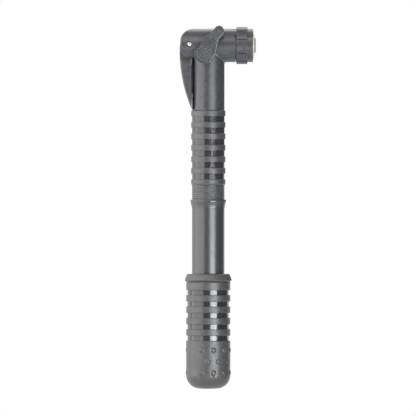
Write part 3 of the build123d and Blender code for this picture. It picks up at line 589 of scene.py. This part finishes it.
# the turned mesh's angle zero points down and runs the other way than the cap's own phase
PAD_ANGLE = -math.pi / 2 - PAD_PHASE
PAD_LOW, PAD_HIGH = CAP_LOW + 0.4 * MM, CAP_HIGH - 3.7 * MM
PAD_EDGE = 0.3 * MM
PAD_LOW_EDGE = 2.2 * PAD_EDGE  # the ends next to the head rise more gently
PAD_SEGMENTS = 360  # sides of the turned cap, enough to carry the pads' edges
RING_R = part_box("chuck_face_ring")[1].z - NOZZLE_Z
FACE_HOLE_R = 5.2 * MM  # hole through the cap's lip and the washer on it
WASHER_SEAT = 0.6 * MM  # depth of the washer's seat below the cap's face
CAP_LIP = 1.4 * MM  # depth of the lip's inner side
GLAND_SHOULDER = 1.5 * MM  # depth of the gland's shoulder, just clear of the lip
CHAMBER_R = 6.5 * MM  # room for the gland
THREAD_LENGTH = 6.2 * MM  # of the wider bore that screws onto the head


def ease(t):
    """Smooth step from 0 to 1."""
    t = min(max(t, 0.0), 1.0)
    return t * t * (3 - 2 * t)


def padded_cap(angle, r, h):
    """Radius of the chuck cap: a plain barrel with raised, soft-edged grip pads."""
    if r < CAP_R - TINY:
        return r
    turn = 2 * math.pi / PAD_COUNT
    across = abs(math.remainder(angle - PAD_ANGLE, turn)) * CAP_R
    mask = ease((PAD_HALF - across) / PAD_EDGE + 0.5)
    mask *= ease((h - PAD_LOW) / PAD_LOW_EDGE) * ease((PAD_HIGH - h) / PAD_EDGE)
    return r + (PAD_R - CAP_R) * mask


def chuck():
    """Padded screw cap, with the washer's seat, the lip and the gland's chamber."""
    bore = SEAT_R - 0.3 * MM
    seat, lip, thread = CAP_HIGH - WASHER_SEAT, CAP_HIGH - CAP_LIP, CAP_LOW + THREAD_LENGTH
    outline = rounded([
        (bore, CAP_LOW, 0.2 * MM), (CAP_R, CAP_LOW, 0.25 * MM), (CAP_R, CAP_HIGH, 0.5 * MM),
        (RING_R, CAP_HIGH, 0.1 * MM), (RING_R, seat, 0), (FACE_HOLE_R, seat, 0),
        (FACE_HOLE_R, lip, 0), (CHAMBER_R, lip, 0), (CHAMBER_R, thread, 0), (bore, thread, 0),
    ])
    fine = divided(outline, 0.2 * MM, CAP_LOW + 0.3 * MM, seat)
    bm = bmesh.new()
    turned(bm, fine, segments=PAD_SEGMENTS, shape=padded_cap)
    piece("chuck_barrel", bm, ["chuck_cap"], NOZZLE)


SELECTOR = Vector(joint("selector_hinge")["pos_m"])
PADDLE_BACK, PADDLE_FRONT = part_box("selector_lever")[1].y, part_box("selector_lever")[0].y
FACE_Y = PADDLE_FRONT + 0.9 * MM  # the paddle's flat face; the thumb bar stands on it
ARM_ANGLE = math.radians(52)
# (x, z) of the paddle's outline from the selector's axis, mm: wing, heel, cheek, arm
PADDLE = ((1.7, 12.0), (-2.8, 6.3), (-7.3, 0.6), (-6.6, -2.1), (-5.2, -4.5), (-3.1, -6.3),
          (-0.6, -7.2), (1.8, -7.3), (3.7, -6.6), (5.5, -3.6), (7.3, -0.4), (7.8, 1.8), (8.3, 3.6),
          (9.0, 6.4), (9.8, 8.8), (11.2, 11.2), (12.4, 12.6), (13.1, 13.9), (13.2, 15.1),
          (12.3, 17.3), (11.2, 18.3), (10.1, 18.7), (8.9, 18.5), (7.7, 18.0), (4.8, 14.4),
          (3.6, 13.1))
PLATE_BEVEL = 0.7 * MM
BAR_X, BAR_Z = 8.4 * MM, 12.3 * MM  # middle of the thumb bar, from the selector's axis
BAR_LENGTH, BAR_WIDTH, BAR_BEVEL = 11.6 * MM, 6.0 * MM, 0.5 * MM
BAR_RIBS = 4
BAR_RIB_PITCH = 1.9 * MM
BAR_RIB_LENGTH, BAR_RIB_WIDTH, BAR_RIB_BEVEL = 4.4 * MM, 0.9 * MM, 0.25 * MM
BAR_RIB_HEIGHT = 0.3 * MM
DOT_RINGS = ((1.3, 5), (3.1, 10), (4.9, 15))  # radius in mm, dots in the ring
DOT_LENGTH, DOT_WIDTH, DOT_HEIGHT, DOT_BEVEL = 1.15 * MM, 1.1 * MM, 0.45 * MM, 0.3 * MM
BEVEL_KNEE = 0.3  # where the bevel's two facets meet, as a share of it


def slab(bm, outline, back, front, bevel):
    """Block between two y planes, of an anticlockwise (x, z) outline, its front bevelled."""
    knee = BEVEL_KNEE * bevel
    rims = []
    for y, inset in ((back, 0), (front + bevel, 0), (front + knee, knee), (front, bevel)):
        rim = []
        for i, here in enumerate(outline):
            along = outline[(i + 1) % len(outline)] - outline[i - 1]
            inward = Vector((-along.y, along.x)).normalized()
            spot = here + inward * inset
            rim.append(bm.verts.new((spot.x, y, spot.y)))
        rims.append(rim)
    for low, high in zip(rims, rims[1:]):
        for i in range(len(outline)):
            j = (i + 1) % len(outline)
            bm.faces.new((low[i], low[j], high[j], high[i]))
    bm.faces.new(rims[0])
    bm.faces.new(rims[-1])


def oval(x, z, length, width, angle, steps=10):
    """Outline of a round-ended bar centred at (x, z), anticlockwise."""
    half = (length - width) / 2
    points = []
    for side in (1, -1):
        for k in range(steps + 1):
            a = math.pi * (k / steps - 0.5)
            spot = Vector((half + math.cos(a) * width / 2, math.sin(a) * width / 2)) * side
            points.append(Vector((x, z)) + Matrix.Rotation(angle, 2) @ spot)
    return points


def paddle():
    """Selector paddle: bevelled plate, thumb bar with ribs, ringed disc of fine dots."""
    cx, cz = SELECTOR.x, SELECTOR.z
    bm = bmesh.new()
    plate = [Vector((cx + x * MM, cz + z * MM)) for x, z in PADDLE]
    slab(bm, plate, PADDLE_BACK, FACE_Y, PLATE_BEVEL)
    root = FACE_Y + 0.2 * MM
    bar_x, bar_z = cx + BAR_X, cz + BAR_Z
    bar = oval(bar_x, bar_z, BAR_LENGTH, BAR_WIDTH, ARM_ANGLE)
    slab(bm, bar, root, PADDLE_FRONT + BAR_RIB_HEIGHT, BAR_BEVEL)
    for k in range(BAR_RIBS):
        reach = (k - (BAR_RIBS - 1) / 2) * BAR_RIB_PITCH
        x, z = bar_x + reach * math.cos(ARM_ANGLE), bar_z + reach * math.sin(ARM_ANGLE)
        rib = oval(x, z, BAR_RIB_LENGTH, BAR_RIB_WIDTH, ARM_ANGLE + math.pi / 2)
        slab(bm, rib, root, PADDLE_FRONT, BAR_RIB_BEVEL)
    for r, count in DOT_RINGS:
        for k in range(count):
            a = 2 * math.pi * k / count
            x, z = cx + r * MM * math.cos(a), cz + r * MM * math.sin(a)
            dot = oval(x, z, DOT_LENGTH, DOT_WIDTH, a, steps=5)
            slab(bm, dot, root, FACE_Y - DOT_HEIGHT, DOT_BEVEL)
    piece("paddle", bm, ["selector_lever"])


def face_ring():
    """Pale domed washer in the chuck's face."""
    low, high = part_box("chuck_face_ring")[0].x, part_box("chuck_face_ring")[1].x
    edge = RING_R - 0.05 * MM
    dome = [(FACE_HOLE_R, high - 0.15 * MM), (FACE_HOLE_R + 0.15 * MM, high),
            (6.4 * MM, high - 0.08 * MM), (7.7 * MM, high - 0.3 * MM),
            (8.9 * MM, high - 0.55 * MM), (9.9 * MM, high - 0.85 * MM),
            (edge, high - 1.1 * MM), (edge, low), (FACE_HOLE_R, low)]
    bm = bmesh.new()
    turned(bm, [Vector(p) for p in dome])
    piece("face_washer", bm, ["chuck_face_ring"], NOZZLE)


def gland():
    """Rubber gland with a rolled lip round the valve's hole."""
    low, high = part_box("valve_gland")[0].x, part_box("valve_gland")[1].x
    out_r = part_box("valve_gland")[1].z - NOZZLE_Z
    lip, hole, throat = 5.1 * MM, 4.0 * MM, 2.6 * MM
    step = low + 3.8 * MM
    shoulder = CAP_HIGH - GLAND_SHOULDER
    bm = ring([
        (throat, low, 0), (out_r, low, 0.2 * MM), (out_r, shoulder, 0.2 * MM),
        (lip, shoulder, 0), (lip, high, 0.5 * MM), (hole, high, 0.45 * MM),
        (hole, step, 0.3 * MM), (throat, step, 0.2 * MM),
    ])
    obj = piece("gland_lip", bm, ["valve_gland"], NOZZLE)
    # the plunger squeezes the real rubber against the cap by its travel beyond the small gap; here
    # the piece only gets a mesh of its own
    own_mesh(obj)


def valve_spring():
    """Coil over the check valve's disc (the real one shortens as the disc lifts), drawn at a single
    length with a mesh of its own.
    """
    low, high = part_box("check_valve_spring")[0].z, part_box("check_valve_spring")[1].z
    wire = 0.3 * MM  # its radius
    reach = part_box("check_valve_spring")[1].x - wire
    turns, steps, sides = 4, 144, 10
    bm = bmesh.new()
    loops = []
    for i in range(steps + 1):
        a = 2 * math.pi * turns * i / steps
        z = low + wire + (high - low - 2 * wire) * i / steps
        loop = []
        for k in range(sides):
            b = 2 * math.pi * k / sides
            r = reach + wire * math.cos(b)
            loop.append(bm.verts.new((r * math.cos(a), r * math.sin(a), z + wire * math.sin(b))))
        loops.append(loop)
    for one, other in zip(loops, loops[1:]):
        for k in range(sides):
            m = (k + 1) % sides
            bm.faces.new((one[k], one[m], other[m], other[k]))
    bm.faces.new(loops[0])
    bm.faces.new(loops[-1])
    obj = piece("valve_spring", bm, ["check_valve_spring"])
    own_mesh(obj)


def rivet():
    """Lever's pin: narrowed ends with rolled rims and a small centre hole in each."""
    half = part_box("lever_pin")[1].y
    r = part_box("lever_pin")[1].x - PIVOT.x
    hole = 0.5 * MM
    rim = r - 0.4 * MM
    neck = half - 0.9 * MM  # where the narrowed end begins, and the hole's tip
    wall = half - 0.8 * MM  # where the hole's straight wall ends
    bm = ring([
        (0, -neck, 0), (hole, -wall, 0), (hole, -half, 0.1 * MM),
        (rim, -half, 0.35 * MM), (r, -neck, 0.2 * MM), (r, neck, 0.2 * MM),
        (rim, half, 0.35 * MM), (hole, half, 0.1 * MM), (hole, wall, 0), (0, neck, 0),
    ], segments=64)
    piece("lever_rivet", bm, ["lever_pin"], PIVOT_AXIS)


chuck()
paddle()
face_ring()
gland()
valve_spring()
rivet()


# ---------------------------------------------------------------- stage, lights, camera
FLOOR_RADIUS = 0.95  # a much wider floor would show its far edge as a line when seen from azimuth 225 at 15 degrees up
FLOOR_GAP = 6 * MM
VIEW_HEIGHT = 282.88 * MM
VIEW_X, VIEW_Z = -0.2 * MM, 22.4 * MM  # middle of the view
VIEW_DISTANCE = 6.0
SENSOR_WIDTH = 36.0  # mm


def backdrop():
    """A wide pale floor, below the handle's longest reach."""
    bm = bmesh.new()
    bmesh.ops.create_circle(bm, cap_ends=True, radius=FLOOR_RADIUS, segments=96)
    mesh = bpy.data.meshes.new("floor")
    bm.to_mesh(mesh)
    bm.free()
    floor = bpy.data.objects.new("floor", mesh)
    floor.location.z = LOWEST_Z - HANDLE_TRAVEL - FLOOR_GAP
    bpy.context.scene.collection.objects.link(floor)
    n = Nodes("pale_floor")
    n.drive("Base Color", n.ramp(n.noise(0.4, 2), (0.3, 0.70), (0.7, 0.74)))
    n.set("Roughness", 0.9)
    n.set("Specular IOR Level", 0.1)
    mesh.materials.append(n.material)


def area_light(name, azimuth, elevation, distance, width, height, radiance,
               colour=(1, 1, 1), up=0.0):
    """A soft box seen from the object at azimuth degrees right of the camera's side."""
    data = bpy.data.lights.new(name, "AREA")
    data.shape = "RECTANGLE"
    data.size = width
    data.size_y = height
    data.color = colour
    data.energy = radiance * width * height * math.pi
    light = bpy.data.objects.new(name, data)
    a, e = math.radians(azimuth), math.radians(elevation)
    way = Vector((math.sin(a) * math.cos(e), -math.cos(a) * math.cos(e), math.sin(e)))
    light.location = way * distance + Vector((0, 0, up))
    light.rotation_euler = way.to_track_quat("Z", "Y").to_euler()
    light.visible_camera = False
    bpy.context.scene.collection.objects.link(light)


def world():
    """White to the eye; to the object a dim horizon under a pale ceiling."""
    w = bpy.data.worlds.new("studio")
    bpy.context.scene.world = w
    w.use_nodes = True
    tree = w.node_tree
    tree.nodes.clear()
    out = tree.nodes.new("ShaderNodeOutputWorld")
    mix = tree.nodes.new("ShaderNodeMixShader")
    path = tree.nodes.new("ShaderNodeLightPath")
    way = tree.nodes.new("ShaderNodeTexCoord")
    height = tree.nodes.new("ShaderNodeSeparateXYZ")
    ramp = tree.nodes.new("ShaderNodeValToRGB")
    for element, (at, value) in zip(ramp.color_ramp.elements, ((0.25, 0.10), (0.75, 0.8))):
        element.position = at
        element.color = (value, value, value, 1)
    dim = tree.nodes.new("ShaderNodeBackground")
    pale = tree.nodes.new("ShaderNodeBackground")
    pale.inputs["Color"].default_value = (1, 1, 1, 1)
    tree.links.new(way.outputs["Generated"], height.inputs[0])
    tree.links.new(height.outputs["Z"], ramp.inputs["Fac"])
    tree.links.new(ramp.outputs["Color"], dim.inputs["Color"])
    tree.links.new(path.outputs["Is Camera Ray"], mix.inputs["Fac"])
    tree.links.new(dim.outputs[0], mix.inputs[1])
    tree.links.new(pale.outputs[0], mix.inputs[2])
    tree.links.new(mix.outputs[0], out.inputs["Surface"])


def camera():
    """Level with the middle of the view, square on to the paddle's side."""
    data = bpy.data.cameras.new("camera")
    data.sensor_width = SENSOR_WIDTH
    data.lens = SENSOR_WIDTH * VIEW_DISTANCE / VIEW_HEIGHT
    data.clip_end = 50
    cam = bpy.data.objects.new("camera", data)
    cam.location = (VIEW_X, -VIEW_DISTANCE, VIEW_Z)
    cam.rotation_euler = (math.pi / 2, 0, 0)
    bpy.context.scene.collection.objects.link(cam)
    bpy.context.scene.camera = cam


backdrop()
world()
camera()
area_light("low_strip", 30, 0, 1.3, 0.84, 0.80, 21, (0.95, 0.97, 1.0), up=-0.395)
area_light("left_box", -66, 0, 1.0, 1.5, 1.9, 3.7)
area_light("left_back_box", -124, 0, 1.0, 1.0, 1.4, 1.6, (1.0, 0.99, 0.95))
area_light("right_back_box", 150, 0, 1.2, 0.8, 0.5, 1.3, up=-0.2)
area_light("top_back_box", 180, 50, 1.2, 1.4, 0.8, 2.6, (0.98, 0.98, 1.0))
area_light("top_front_box", 0, 46, 1.3, 1.4, 0.6, 3.0, (1.0, 0.99, 0.88))
bpy.context.scene.view_settings.view_transform = "Standard"
